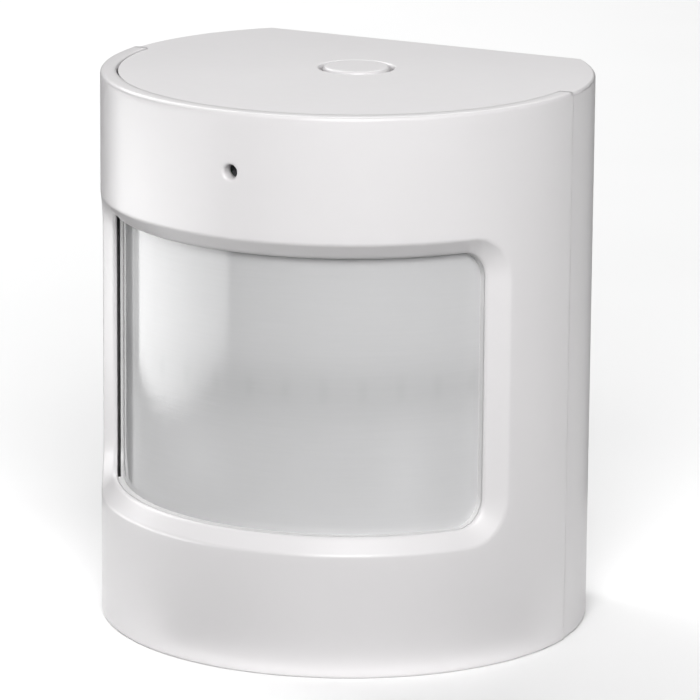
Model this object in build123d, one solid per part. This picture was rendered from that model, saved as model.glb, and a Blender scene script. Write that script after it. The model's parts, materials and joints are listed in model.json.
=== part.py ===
from build123d import *

import os
from math import cos, radians, sin

# Battery motion sensor with a curved Fresnel lens, built as separate pieces.
# Millimetres, +Z up. The lens looks towards -Y and the flat back is at +Y. The body is a circle in plan,
# cut off by the flat back. The shapes are drawn about the circle's axis and written out shifted by AXIS_Y,
# so that the origin of the finished part is under the middle of the whole body.

# ---- driving dimensions ----
HEIGHT = 63.2
FRONT_R = 28.0  # round body
BACK_Y = 19.3  # flat back, behind the circle's axis
AXIS_Y = (FRONT_R - BACK_Y) / 2
WALL = 1.8
STEP = 0.15  # the rear housing stands this far inside the front cover
SEAM = 0.2  # open joint between cover and housing
RIM_GAP = 0.25  # groove between the cover's rim and the end plates
COVER_EDGE = 0.35  # outer edge rounding of the front cover
EDGE = 0.4  # outer edge rounding of the housing

# hooks inside the ends of the cover and their windows in the housing's ribs
HOOK_Z = (14.0, 50.0)
HOOK_LENGTH = 8.0
HOOK_REACH = 0.6
HOOK_ROOT = 0.3  # sunk into the cover's wall
HOOK_Y = (-2.5, -1.8, -1.3)  # tip of the ramp, its end, and the flat stop
HOOK_PLAY = 0.2
RIB_T = 1.0
RIB_Y = (-3.0, 3.0)

# window in the front cover
WINDOW_MID_Z = HEIGHT / 2
WINDOW_HALF_H = 15.7
WINDOW_HALF_ANGLE = 62.3
BEVEL_DEPTH = 1.4
BEVEL_RISE = 1.8  # how far the bevel widens the window above and below
BEVEL_OUTER_ANGLE = 67.3
WINDOW_CORNER_R = 3.3
BEVEL_CORNER_R = 4.0

# lens and its frame
LENS_R = 25.5
LENS_T = 0.5
FRAME_PLAY = 0.05  # between the frame and the inside of the cover
FRAME_MARGIN_Z = 4.2
FRAME_MARGIN_ANGLE = 8.5
FRAME_CORNER_R = 2.0
FRAME_RELIEF_R = 25.8  # the frame is thinner at its left end and leaves a gap there
FRAME_RELIEF_ANGLE = 57.0
LENS_MARGIN = 2.6
LENS_MARGIN_ANGLE = 5.5
LENS_CORNER_R = 1.5

# status light
LED_Z = 56.5
LED_HOLE_R = 0.8
LED_SINK = 0.35  # flare at the mouth of the hole
LED_X = 6.0
LED_SIZE = (3.2, 0.8, 1.6)
PIPE_R = 1.2
PIPE_BEND_R = 4.0
PIPE_FRONT_Y = -25.5
PIPE_TURN_Y = (-12.0, -4.0)
PIPE_PLAY = 0.05
SEAT_WALL = 1.0
SEAT_BACK_Y = -22.5

# top button
BUTTON_Y = 2.0
BUTTON_R = 3.8
BUTTON_HOLE_R = 4.25
BUTTON_STEP_R = 4.0
BUTTON_FLANGE_R = 5.4
BUTTON_FLANGE_T = 0.9
BUTTON_STEP = (-0.4, 0.8)  # thicker guide, below and above the top of the flange
BUTTON_EDGE = 0.35
BUTTON_HOLE_EDGE = 0.3
STEM_R = 1.25
SWITCH_SIZE = 6.0
SWITCH_FRONT_Y = 0.5
SWITCH_WELL = (1.8, 1.5)  # radius and depth
PLUNGER_R = 1.7
LEG_X = 2.25
LEG_HALF = (0.35, 0.12)
LEG_INSET_Z = (5.2, 0.8)  # below the top of the switch
LEG_HOLE_R = 0.55

# circuit board
BOARD_Y = 3.7  # front face
BOARD_T = 1.6
BOARD_HALF_W = 20.5
BOARD_Z = (4.5, 59.5)
SCREW_X = 16.2
SCREW_Z = (12.0, 52.0)
SCREW_R = 0.85
SCREW_LENGTH = 8.0
SCREW_HOLE_R = 1.1
HEAD_R = 1.9
HEAD_H = 1.3
SLOT_HALF = (1.1, 0.25)
SLOT_DEPTH = 0.6
BOSS_R = 2.3
BOARD_CORNER_R = 2.5

# cells, size AAA
CELL_R = 5.15
CELL_LENGTH = 44.5
CELL_X = 5.4
CELL_Y = 12.4
NUB_R = 1.9
NUB_H = 0.9
CELL_EDGE = 0.35
PLATE_T = 0.4
PLATE_HALF_W = 4.4
PLATE_CORNER_R = 0.8
TAB_HALF_W = 1.2
SPRING_H = 4.0
SPRING_WIRE_R = 0.35
SPRING_R = 3.2
SPRING_TURNS = 3.5
SPRING_PLAY = 0.05

# battery bay and door
BAY_HALF_W = 10.9
BAY_Z0 = 7.0
BAY_WALL = 1.0
BAY_FRONT_Y = 7.1
BACK_WALL = 2.0
TAB_SLOT_HALF_W = 1.6
DOOR_HALF_W = 12.4
DOOR_TOP = 59.3
DOOR_T = 1.35
DOOR_GAP = 0.2
BARREL_R = 1.4
HINGE_Y = BACK_Y - BARREL_R
HINGE_Z = 4.5
LATCH_Y = BACK_Y - 3.6
LATCH_HALF_W = 3.0
LATCH_T = 0.8
LATCH_PLAY = 0.6
LATCH_REACH = 0.1  # the nose stands this far above the door
DOOR_CORNER_R = 1.0
DOOR_RIB_Z = (20.0, 44.0)
DOOR_RIB_HALF = (0.25, 4.0)
GRIP_LINES = 3
GRIP_PITCH = 1.6
GRIP_HALF = (4.0, 0.3)
GRIP_DEPTH = 0.35
GRIP_DROP = 4.5
NOTCH_R = 5.0
NOTCH_DEPTH = 1.0
PINTLE_R = 0.75
PINTLE_CLEARANCE = 0.05
PINTLE_LENGTH = 1.5
LUG_HALF_H = 1.8
LUG_WIDTH = 4.1
LUG_Y = (BACK_Y - 3.4, BACK_Y - 0.5)

PLATE_R = FRONT_R - WALL - RIM_GAP  # end plates inside the cover's rim
HOUSING_TOP = HEIGHT - STEP
COVER_INNER_R = FRONT_R - WALL
BAY_Z1 = BAY_Z0 + CELL_LENGTH + SPRING_H + 2 * PLATE_T
BOARD_BACK_Y = BOARD_Y + BOARD_T
WINDOW_Z = (WINDOW_MID_Z - WINDOW_HALF_H, WINDOW_MID_Z + WINDOW_HALF_H)
REACH = 2 * FRONT_R  # beyond the body on every side
EPS = 0.01


def polar(radius, angle):
    """Plan point at an angle in degrees from the front centre, positive towards +X."""
    return radius * sin(radians(angle)), -radius * cos(radians(angle))


def block(x, y, z):
    """Box given by its low and high value along each axis."""
    size = [b - a for a, b in (x, y, z)]
    middle = [(a + b) / 2 for a, b in (x, y, z)]
    return Pos(*middle) * Box(*size)


def rod(radius, start, end):
    """Cylinder between two points on a line along one axis."""
    start, end = Vector(*start), Vector(*end)
    return Solid.extrude(Plane(start, z_dir=end - start) * Circle(radius).face(), end - start)


def disc_column(radius, z0, z1, x=0.0, y=0.0):
    return rod(radius, (x, y, z0), (x, y, z1))


def ring_column(outer, inner, z0, z1):
    return disc_column(outer, z0, z1) - disc_column(inner, z0 - 1, z1 + 1)


def d_column(radius, back_y, z0, z1):
    """Round column cut off flat at the back."""
    return disc_column(radius, z0, z1) & block((-REACH, REACH), (-REACH, back_y), (z0, z1))


def wedge(plan_points, z0, z1):
    face = Pos(0, 0, z0) * make_face(Polyline(*plan_points, close=True))
    return extrude(face, z1 - z0, dir=(0, 0, 1))


def turned(profile_points):
    """Solid of revolution about Z from (radius, z) points."""
    face = Plane.XZ * make_face(Polyline(*profile_points, close=True))
    return revolve(face, Axis.Z, 360)


def circles(piece, radius=None):
    """Round edges of a piece, all of them or those of one radius."""
    found = piece.edges().filter_by(GeomType.CIRCLE)
    return found if radius is None else [e for e in found if abs(e.radius - radius) < EPS]


def rounded_nose(piece, axis, radius):
    """The piece with its lowest round edge along an axis rounded over."""
    return fillet(circles(piece).sort_by(axis)[0], radius)


def sector(outer, inner, half_angle, z0, z1, corner_r=0.0):
    """Part of a tube, centred on the front, with rounded corners seen from outside."""
    reach = outer * 1.5
    side = polar(reach, half_angle)
    far = (side[0], side[1] - 2 * reach)
    plan = [(0, 0), side, far, (-far[0], far[1]), (-side[0], side[1])]
    piece = ring_column(outer, inner, z0, z1) & wedge(plan, z0, z1)
    if corner_r:
        piece = fillet(radial_edges(piece), corner_r)
    return piece


def radial_edges(piece):
    """The four straight edges that run outwards at the corners of a sector."""
    flat = [e for e in piece.edges() if e.geom_type == GeomType.LINE]
    return [e for e in flat if abs(e.tangent_at(0.5).Z) < EPS]


# ---- front cover ----


def window_bevel():
    """Cutter for the sloping border of the window, wider at the sides than above and below."""
    inner_r = FRONT_R - BEVEL_DEPTH
    beyond = 1.5
    spread = BEVEL_RISE * (beyond + BEVEL_DEPTH) / BEVEL_DEPTH
    low, high = WINDOW_Z
    cone_ring = turned(
        [(inner_r, low), (FRONT_R + beyond, low - spread), (FRONT_R + beyond, high + spread), (inner_r, high)]
    )
    near = Vector(*polar(inner_r, WINDOW_HALF_ANGLE))
    outer = Vector(*polar(FRONT_R, BEVEL_OUTER_ANGLE))
    far = near + (outer - near) * 3
    right = [(near.X, near.Y), (far.X, far.Y), (far.X, -REACH)]
    left = [(-x, y) for x, y in reversed(right)]
    cutter = cone_ring & wedge([(0, 0)] + right + left, 0, HEIGHT)
    return fillet([e for e in cutter.edges() if runs_both_ways(e)], BEVEL_CORNER_R)


def plan_radius(point):
    return Vector(point.X, point.Y).length


def runs_both_ways(edge):
    """True for a corner edge, which changes both in height and in distance from the axis."""
    start, end = edge.position_at(0), edge.position_at(1)
    return abs(start.Z - end.Z) > 1 and abs(plan_radius(start) - plan_radius(end)) > 1


def snap_hooks():
    """Four ramped hooks inside the ends of the cover."""
    tip, ramp_end, stop = HOOK_Y
    root, crest = COVER_INNER_R + HOOK_ROOT, COVER_INNER_R - HOOK_REACH
    hooks = []
    for side in (-1, 1):
        profile = [(side * root, tip), (side * crest, ramp_end), (side * crest, stop), (side * root, stop)]
        for z in HOOK_Z:
            hooks.append(wedge(profile, z - HOOK_LENGTH / 2, z + HOOK_LENGTH / 2))
    return hooks


def cover_band():
    """Half ring with rounded outer edges."""
    band = ring_column(FRONT_R, COVER_INNER_R, 0, HEIGHT)
    band &= block((-REACH, REACH), (-REACH, 0), (0, HEIGHT))
    upright = [e for e in band.edges() if abs(e.tangent_at(0.5).Z) > 0.9]
    ends = [e for e in upright if abs(plan_radius(e.center()) - FRONT_R) < EPS]
    return fillet(circles(band, FRONT_R) + ends, COVER_EDGE)


def front_cover():
    shell = cover_band() - window_bevel()
    shell -= sector(FRONT_R + 2, 20, WINDOW_HALF_ANGLE, *WINDOW_Z, WINDOW_CORNER_R)
    shell += rod(PIPE_R + SEAT_WALL, (0, -COVER_INNER_R - 0.4, LED_Z), (0, SEAT_BACK_Y, LED_Z))
    shell -= rod(PIPE_R + PIPE_PLAY, (0, -COVER_INNER_R, LED_Z), (0, SEAT_BACK_Y + 1, LED_Z))
    shell -= rod(LED_HOLE_R, (0, -REACH, LED_Z), (0, SEAT_BACK_Y, LED_Z))
    mouth = Plane((0, -FRONT_R - 0.05, LED_Z), z_dir=(0, 1, 0))
    shell -= mouth * Pos(0, 0, 0.25) * Cone(LED_HOLE_R + LED_SINK, LED_HOLE_R + LED_SINK - 0.5, 0.5)
    for hook in snap_hooks():
        shell += hook
    return shell


# ---- lens ----


def lens_frame():
    """Border that carries the lens and lies against the cover, except at its left end."""
    low, high = WINDOW_Z
    outer = COVER_INNER_R - FRAME_PLAY
    half_angle = WINDOW_HALF_ANGLE + FRAME_MARGIN_ANGLE
    frame = sector(outer, LENS_R, half_angle, low - FRAME_MARGIN_Z, high + FRAME_MARGIN_Z, FRAME_CORNER_R)
    frame -= sector(outer + 2, 20, WINDOW_HALF_ANGLE, low, high, WINDOW_CORNER_R)
    left_end = [polar(REACH, -FRAME_RELIEF_ANGLE), (-REACH, REACH), (0, REACH), (0, 0)]
    return frame - (ring_column(outer + 1, FRAME_RELIEF_R, 0, HEIGHT) & wedge(left_end, 0, HEIGHT))


def fresnel_lens():
    low, high = WINDOW_Z
    half_angle = WINDOW_HALF_ANGLE + LENS_MARGIN_ANGLE
    return sector(LENS_R, LENS_R - LENS_T, half_angle, low - LENS_MARGIN, high + LENS_MARGIN, LENS_CORNER_R)


# ---- rear housing ----


def battery_bay():
    """Solid block that the cells' bay is cut from."""
    return block(
        (-BAY_HALF_W - BAY_WALL, BAY_HALF_W + BAY_WALL),
        (BAY_FRONT_Y - BAY_WALL, BACK_Y - BACK_WALL + 0.5),
        (BAY_Z0 - BAY_WALL, BAY_Z1 + BAY_WALL),
    )


def bay_hollow():
    return block((-BAY_HALF_W, BAY_HALF_W), (BAY_FRONT_Y, BACK_Y + 1), (BAY_Z0, BAY_Z1))


def housing_shell():
    """End plates, side walls and back wall, open towards the front cover."""
    across = (-REACH, REACH)
    rear = d_column(FRONT_R - STEP, BACK_Y, 0, HOUSING_TOP) & block(across, (SEAM, REACH), (0, HEIGHT))
    rear = fillet(outline_edges(rear), EDGE)
    front = disc_column(PLATE_R, 0, HOUSING_TOP) & block(across, (-REACH, SEAM), (0, HEIGHT))
    return rear + front - d_column(FRONT_R - STEP - WALL, BACK_Y - BACK_WALL, WALL, HOUSING_TOP - WALL)


def outline_edges(rear):
    """Top and bottom edges of the curved sides and of the back."""
    level = [e for e in rear.edges() if abs(e.tangent_at(0.5).Z) < EPS]
    return [e for e in level if e.center().Y > SEAM + 0.1]


def tongues():
    """Inner ribs that the ends of the cover close over, with windows for its hooks."""
    z = (WALL, HOUSING_TOP - WALL)
    across = (-REACH, REACH)
    rib = ring_column(PLATE_R, PLATE_R - RIB_T, *z) & block(across, RIB_Y, z)
    rib += ring_column(PLATE_R + 0.3, PLATE_R - RIB_T, *z) & block(across, (SEAM + 0.1, RIB_Y[1]), z)
    half_length = HOOK_LENGTH / 2 + HOOK_PLAY + 0.1
    for hook_z in HOOK_Z:
        y = (HOOK_Y[0] - HOOK_PLAY, HOOK_Y[2] + HOOK_PLAY)
        rib -= block(across, y, (hook_z - half_length, hook_z + half_length))
    return rib


def screw_places():
    return [(side * SCREW_X, z) for side in (-1, 1) for z in SCREW_Z]


def door_seat():
    """Rabbet for the door, round slot for its barrel and the finger notch above it."""
    edge = DOOR_HALF_W + DOOR_GAP
    seat = block((-edge, edge), (BACK_Y - DOOR_T - 0.05, BACK_Y + 1), (HINGE_Z, DOOR_TOP + DOOR_GAP))
    seat += rod(BARREL_R + DOOR_GAP, (-edge, HINGE_Y, HINGE_Z), (edge, HINGE_Y, HINGE_Z))
    seat += block((-edge, edge), (HINGE_Y, BACK_Y + 1), (HINGE_Z - BARREL_R - DOOR_GAP, HINGE_Z + 1))
    notch_z = DOOR_TOP - 2.2
    notch = rod(NOTCH_R, (0, BACK_Y - NOTCH_DEPTH, notch_z), (0, BACK_Y + 1, notch_z))
    half_w = LATCH_HALF_W + LATCH_PLAY
    latch_room = block(
        (-half_w, half_w), (LATCH_Y - LATCH_PLAY, BACK_Y - 1), (BAY_Z1 + BAY_WALL, DOOR_TOP + DOOR_GAP)
    )
    return seat + notch + latch_room


def hinge_lugs():
    """Blocks either side of the door that its pins turn in."""
    start = DOOR_HALF_W + DOOR_GAP - 1.5
    z = (HINGE_Z - LUG_HALF_H, HINGE_Z + LUG_HALF_H)
    return [block(sorted((side * start, side * (start + LUG_WIDTH))), LUG_Y, z) for side in (-1, 1)]


def rear_housing():
    body = housing_shell() + tongues() + battery_bay()
    for x, z in screw_places():
        body += rod(BOSS_R, (x, BOARD_BACK_Y, z), (x, BACK_Y - 1, z))
    for lug in hinge_lugs():
        body += lug
    body -= bay_hollow()
    body -= door_seat()
    socket_end = DOOR_HALF_W + DOOR_GAP + PINTLE_LENGTH
    socket_r = PINTLE_R + PINTLE_CLEARANCE
    body -= rod(socket_r, (-socket_end, HINGE_Y, HINGE_Z), (socket_end, HINGE_Y, HINGE_Z))
    for x, z in screw_places():
        body -= rod(SCREW_R, (x, BOARD_BACK_Y - 1, z), (x, BOARD_BACK_Y + SCREW_LENGTH, z))
    for x in (-CELL_X, CELL_X):
        slot_y = (BAY_FRONT_Y - 2 * BAY_WALL, BAY_FRONT_Y + 2 * BAY_WALL)
        slot_z = (BAY_Z0 - 0.05, BAY_Z0 + PLATE_T + 0.1)
        body -= block((x - TAB_SLOT_HALF_W, x + TAB_SLOT_HALF_W), slot_y, slot_z)
    body -= disc_column(BUTTON_HOLE_R, HOUSING_TOP - 2 * WALL, HEIGHT + 1, y=BUTTON_Y)
    rim = [e for e in circles(body, BUTTON_HOLE_R) if abs(e.center().Z - HOUSING_TOP) < EPS]
    return fillet(rim, BUTTON_HOLE_EDGE)


# ---- battery door ----


def battery_door():
    x = (-DOOR_HALF_W, DOOR_HALF_W)
    inner_y = BACK_Y - DOOR_T
    door = block(x, (inner_y, BACK_Y), (HINGE_Z, DOOR_TOP))
    door += rod(BARREL_R, (x[0], HINGE_Y, HINGE_Z), (x[1], HINGE_Y, HINGE_Z))
    top = [e for e in door.edges().filter_by(Axis.Y) if e.center().Z > DOOR_TOP - EPS]
    door = fillet(top, DOOR_CORNER_R)
    rib_x, rib_z = DOOR_RIB_HALF
    for z in DOOR_RIB_Z:
        door += block((-rib_x, rib_x), (CELL_Y + 3.6, inner_y + 0.2), (z - rib_z, z + rib_z))
    latch_x = (-LATCH_HALF_W, LATCH_HALF_W)
    latch_z = BAY_Z1 + BAY_WALL + 0.25
    door += block(latch_x, (LATCH_Y, inner_y + 0.2), (latch_z, DOOR_TOP - 0.35))
    door += block(latch_x, (LATCH_Y, LATCH_Y + LATCH_T), (latch_z, DOOR_TOP + LATCH_REACH))
    pin_end = DOOR_HALF_W + PINTLE_LENGTH
    door += rod(PINTLE_R, (-pin_end, HINGE_Y, HINGE_Z), (pin_end, HINGE_Y, HINGE_Z))
    grip_x, grip_z = GRIP_HALF
    for i in range(GRIP_LINES):
        z = DOOR_TOP - GRIP_DROP - GRIP_PITCH * i
        door -= block((-grip_x, grip_x), (BACK_Y - GRIP_DEPTH, BACK_Y + 1), (z - grip_z, z + grip_z))
    return door


# ---- button and switch ----

FLANGE_Z = HOUSING_TOP - WALL - 0.1
STEM_Z = 59.05
SWITCH_TOP = 57.6


def reset_button():
    """Cap with a guide and a flange under the top plate, and a stem down to the switch."""
    cap = disc_column(BUTTON_R, FLANGE_Z, HEIGHT, y=BUTTON_Y)
    cap = fillet(circles(cap).sort_by(Axis.Z)[-1], BUTTON_EDGE)
    low, high = BUTTON_STEP
    cap += disc_column(BUTTON_STEP_R, FLANGE_Z + low, FLANGE_Z + high, y=BUTTON_Y)
    cap += disc_column(BUTTON_FLANGE_R, FLANGE_Z - BUTTON_FLANGE_T, FLANGE_Z, y=BUTTON_Y)
    return cap + disc_column(STEM_R, STEM_Z, FLANGE_Z, y=BUTTON_Y)


def switch_body():
    half = SWITCH_SIZE / 2
    body = block((-half, half), (SWITCH_FRONT_Y, BOARD_Y), (SWITCH_TOP - SWITCH_SIZE, SWITCH_TOP))
    body = chamfer(body.edges().filter_by(Axis.Z).group_by(Axis.Y)[0], 0.5)
    well_r, well_depth = SWITCH_WELL
    return body - disc_column(well_r, SWITCH_TOP - well_depth, SWITCH_TOP + 1, y=BUTTON_Y)


def switch_plunger():
    return disc_column(PLUNGER_R, SWITCH_TOP - 1.0, STEM_Z - 0.05, y=BUTTON_Y)


def leg_places():
    return [(x, SWITCH_TOP - inset) for x in (-LEG_X, LEG_X) for inset in LEG_INSET_Z]


def switch_legs():
    half_x, half_z = LEG_HALF
    y = (BOARD_Y, BOARD_BACK_Y + 0.6)
    return [block((x - half_x, x + half_x), y, (z - half_z, z + half_z)) for x, z in leg_places()]


# ---- circuit board and what is on it ----

SENSOR_Z = WINDOW_MID_Z
SENSOR_R = 4.1
SENSOR_FRONT_Y = BOARD_Y - 4.2
SENSOR_RIM_Y = BOARD_Y - 0.6
SENSOR_SHEET = 0.25
SENSOR_EYE_HALF = (2.0, 1.5)
FILTER_PLAY = 0.05
FILTER_T = 0.5
LEAD_R = 0.23
LEAD_HOLE_R = 0.4
LEAD_PITCH = 1.8
LEAD_HOLES = [
    (-LEAD_PITCH, SENSOR_Z - LEAD_PITCH),
    (LEAD_PITCH, SENSOR_Z - LEAD_PITCH),
    (LEAD_PITCH, SENSOR_Z + LEAD_PITCH),
]
RADIO_HALF_W = 12.0
RADIO_Z = (9.0, 22.0)
RADIO_T = 0.8
PAD_COUNT = 8
PAD_PITCH = 2.0
PAD_R = 0.45
SHIELD_X = (-9.5, 5.5)
SHIELD_H = 2.2
SHIELD_INSET_Z = 1.5
CHIP_X = (-17.5, -13.6)
CHIP_Z = (26.0, 36.0)
CHIP_Y = (BOARD_Y - 1.7, BOARD_Y - 0.15)
CHIP_LEAD_X = (-18.6, -12.5)
CHIP_LEAD_PITCH = 1.27
CHIP_LEAD_HALF = 0.2
CAPACITOR_PLACES = [(13.5, 38.0), (13.5, 45.0)]
CAPACITOR_R = 2.5
CAPACITOR_H = 5.4
CAPACITOR_BASE = 5.2
SMALL_CHIP = (2.0, 0.6, 1.2)
SMALL_CHIP_PITCH = 2.6
SMALL_CHIP_ROWS = 4
SMALL_CHIP_COLUMNS = [(9.0, 24.0), (12.0, 24.0), (15.0, 24.0), (-15.6, 40.0)]  # x and lowest z


def main_board():
    board = block((-BOARD_HALF_W, BOARD_HALF_W), (BOARD_Y, BOARD_BACK_Y), BOARD_Z)
    board = fillet(board.edges().filter_by(Axis.Y), BOARD_CORNER_R)
    holes = [(x, z, SCREW_HOLE_R) for x, z in screw_places()]
    holes += [(x, z, LEAD_HOLE_R) for x, z in LEAD_HOLES]
    holes += [(x, z, LEG_HOLE_R) for x, z in leg_places()]
    for x, z, radius in holes:
        board -= rod(radius, (x, BOARD_Y - 1, z), (x, BOARD_BACK_Y + 1, z))
    half_w = TAB_HALF_W + 0.1
    for x in (-CELL_X, CELL_X):
        slot_z = (BAY_Z0 - 0.2, BAY_Z0 + PLATE_T + 0.2)
        board -= block((x - half_w, x + half_w), (BOARD_Y - 1, BOARD_BACK_Y + 1), slot_z)
    return board


def board_screws():
    """Cross-slotted screws through the board into the bosses."""
    screws = []
    top_y = BOARD_Y - HEAD_H
    slot_y = (top_y - 1, top_y + SLOT_DEPTH)
    for x, z in screw_places():
        head = rounded_nose(rod(HEAD_R, (x, top_y, z), (x, BOARD_Y, z)), Axis.Y, 0.5)
        for half_x, half_z in (SLOT_HALF, SLOT_HALF[::-1]):
            head -= block((x - half_x, x + half_x), slot_y, (z - half_z, z + half_z))
        shank = rod(SCREW_R - 0.05, (x, BOARD_Y - 0.2, z), (x, BOARD_Y + SCREW_LENGTH, z))
        screws.append(head + shank)
    return screws


def pir_sensor_base():
    base = rod(SENSOR_R + 0.5, (0, SENSOR_RIM_Y, SENSOR_Z), (0, BOARD_Y - 0.05, SENSOR_Z))
    for x, z in LEAD_HOLES:
        base += rod(LEAD_R, (x, BOARD_Y - 0.3, z), (x, BOARD_BACK_Y + 0.7, z))
    return base


def sensor_eye(play, y):
    """Block the size of the sensor's opening, less some play on each side."""
    half_x, half_z = (half - play for half in SENSOR_EYE_HALF)
    return block((-half_x, half_x), y, (SENSOR_Z - half_z, SENSOR_Z + half_z))


def pir_sensor_can():
    can = rod(SENSOR_R, (0, SENSOR_FRONT_Y, SENSOR_Z), (0, SENSOR_RIM_Y, SENSOR_Z))
    can = rounded_nose(can, Axis.Y, 0.4)
    inner_y = SENSOR_FRONT_Y + 0.3
    can -= rod(SENSOR_R - SENSOR_SHEET, (0, inner_y, SENSOR_Z), (0, SENSOR_RIM_Y + 1, SENSOR_Z))
    return can - sensor_eye(0, (SENSOR_FRONT_Y - 1, SENSOR_FRONT_Y + 1))


def pir_sensor_window():
    front = SENSOR_FRONT_Y + FILTER_PLAY
    return sensor_eye(FILTER_PLAY, (front, front + FILTER_T))


def wifi_module():
    """Small board with half-round pads along its upper and lower edges."""
    module = block((-RADIO_HALF_W, RADIO_HALF_W), (BOARD_Y - RADIO_T, BOARD_Y), RADIO_Z)
    for i in range(PAD_COUNT):
        x = PAD_PITCH * (i - PAD_COUNT / 2)
        for z in RADIO_Z:
            module -= rod(PAD_R, (x, BOARD_Y - RADIO_T - 1, z), (x, BOARD_Y + 1, z))
    return module


def wifi_shield():
    back = BOARD_Y - RADIO_T
    z = (RADIO_Z[0] + SHIELD_INSET_Z, RADIO_Z[1] - SHIELD_INSET_Z)
    shield = block(SHIELD_X, (back - SHIELD_H, back), z)
    return fillet(shield.edges().filter_by(Axis.Y), 0.6)


def amplifier_chip():
    chip = block(CHIP_X, CHIP_Y, CHIP_Z)
    chip = chamfer(chip.edges().filter_by(Axis.Z), 0.2)
    for i in range(PAD_COUNT):
        z = CHIP_Z[0] + 0.6 + CHIP_LEAD_PITCH * i
        chip += block(CHIP_LEAD_X, (BOARD_Y - 0.3, BOARD_Y), (z - CHIP_LEAD_HALF, z + CHIP_LEAD_HALF))
    return chip


def electrolytic_capacitors():
    cans = []
    half = CAPACITOR_BASE / 2
    for x, z in CAPACITOR_PLACES:
        base = block((x - half, x + half), (BOARD_Y - 0.6, BOARD_Y), (z - half, z + half))
        can = rod(CAPACITOR_R, (x, BOARD_Y - CAPACITOR_H, z), (x, BOARD_Y - 0.5, z))
        cans.append(base + rounded_nose(can, Axis.Y, 0.3))
    return cans


def chip_components():
    chips = []
    for x, lowest in SMALL_CHIP_COLUMNS:
        for row in range(SMALL_CHIP_ROWS):
            chips.append(on_board(x, lowest + SMALL_CHIP_PITCH * row, SMALL_CHIP))
    return chips


def on_board(x, z, size):
    """Block on the front face of the board."""
    half_x, height, half_z = size[0] / 2, size[1], size[2] / 2
    return block((x - half_x, x + half_x), (BOARD_Y - height, BOARD_Y), (z - half_z, z + half_z))


def status_led():
    return on_board(LED_X, LED_Z, LED_SIZE)


def light_pipe():
    """Bent rod from the status light to the hole in the cover."""
    bend_start, bend_end = PIPE_TURN_Y
    end_y = BOARD_Y - LED_SIZE[1] - 0.1
    plan = [(0, PIPE_FRONT_Y), (0, bend_start), (LED_X, bend_end), (LED_X, end_y)]
    path = FilletPolyline(*[(x, y, LED_Z) for x, y in plan], radius=PIPE_BEND_R)
    return sweep(Plane((0, PIPE_FRONT_Y, LED_Z), z_dir=(0, 1, 0)) * Circle(PIPE_R), path)


# ---- cells and contacts ----


def cell(side):
    """The left cell stands with its nub up, the right one with its nub down."""
    x = side * CELL_X
    body = disc_column(CELL_R, 0, CELL_LENGTH - NUB_H, x, CELL_Y)
    body = fillet(circles(body), CELL_EDGE) + disc_column(NUB_R, 1, CELL_LENGTH, x, CELL_Y)
    if side < 0:
        return Pos(0, 0, BAY_Z0 + PLATE_T + SPRING_H) * body
    return Pos(0, 2 * CELL_Y, BAY_Z0 + PLATE_T + CELL_LENGTH) * Rot(180, 0, 0) * body


def coil_spring(side):
    """Spring from a contact plate to a cell's flat end."""
    x = side * CELL_X
    lift = SPRING_WIRE_R + SPRING_PLAY
    rise = SPRING_H - 2 * lift
    path = Helix(rise / SPRING_TURNS, rise, SPRING_R)
    coil = sweep(Plane(path @ 0, z_dir=path % 0) * Circle(SPRING_WIRE_R), path, is_frenet=True)
    if side < 0:
        return Pos(x, CELL_Y, BAY_Z0 + PLATE_T + lift) * coil
    return Pos(x, CELL_Y, BAY_Z1 - PLATE_T - lift) * Rot(180, 0, 0) * coil


def end_contact(side):
    """Plate under a cell with a tab through the bay's front wall to the board."""
    x = side * CELL_X
    z = (BAY_Z0, BAY_Z0 + PLATE_T)
    plate = contact_plate((x - PLATE_HALF_W, x + PLATE_HALF_W), z)
    return plate + block((x - TAB_HALF_W, x + TAB_HALF_W), (BOARD_Y - 0.6, BAY_FRONT_Y + 1), z)


def contact_plate(x, z):
    plate = block(x, (BAY_FRONT_Y + 0.2, CELL_Y + 4.2), z)
    return fillet(plate.edges().filter_by(Axis.Z), PLATE_CORNER_R)


def contact_bridge():
    """Plate across the top of the bay that joins the two cells."""
    half_w = CELL_X + PLATE_HALF_W
    return contact_plate((-half_w, half_w), (BAY_Z1 - PLATE_T, BAY_Z1))


NODES = {
    "front_cover": front_cover,
    "lens_frame": lens_frame,
    "fresnel_lens": fresnel_lens,
    "rear_housing": rear_housing,
    "battery_door": battery_door,
    "reset_button": reset_button,
    "switch_body": switch_body,
    "switch_plunger": switch_plunger,
    "switch_legs": switch_legs,
    "main_board": main_board,
    "board_screws": board_screws,
    "pir_sensor_base": pir_sensor_base,
    "pir_sensor_can": pir_sensor_can,
    "pir_sensor_window": pir_sensor_window,
    "wifi_module": wifi_module,
    "wifi_shield": wifi_shield,
    "amplifier_chip": amplifier_chip,
    "electrolytic_capacitors": electrolytic_capacitors,
    "chip_components": chip_components,
    "status_led": status_led,
    "light_pipe": light_pipe,
    "cell_left": lambda: cell(-1),
    "cell_right": lambda: cell(1),
    "spring_left": lambda: coil_spring(-1),
    "spring_right": lambda: coil_spring(1),
    "contact_negative": lambda: end_contact(-1),
    "contact_positive": lambda: end_contact(1),
    "contact_bridge": contact_bridge,
}

os.makedirs("parts", exist_ok=True)
for name, make in NODES.items():
    made = make()
    pieces = made if isinstance(made, list) else [made]
    shifted = [Pos(0, AXIS_Y, 0) * piece.solid() for piece in pieces]
    export_step(Compound(shifted) if len(shifted) > 1 else shifted[0], f"parts/{name}.step")
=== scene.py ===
"""Looks of a small motion sensor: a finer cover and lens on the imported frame, materials, light and camera."""

import json
from math import atan2, cos, exp, pi, radians, sin, sqrt

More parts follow.
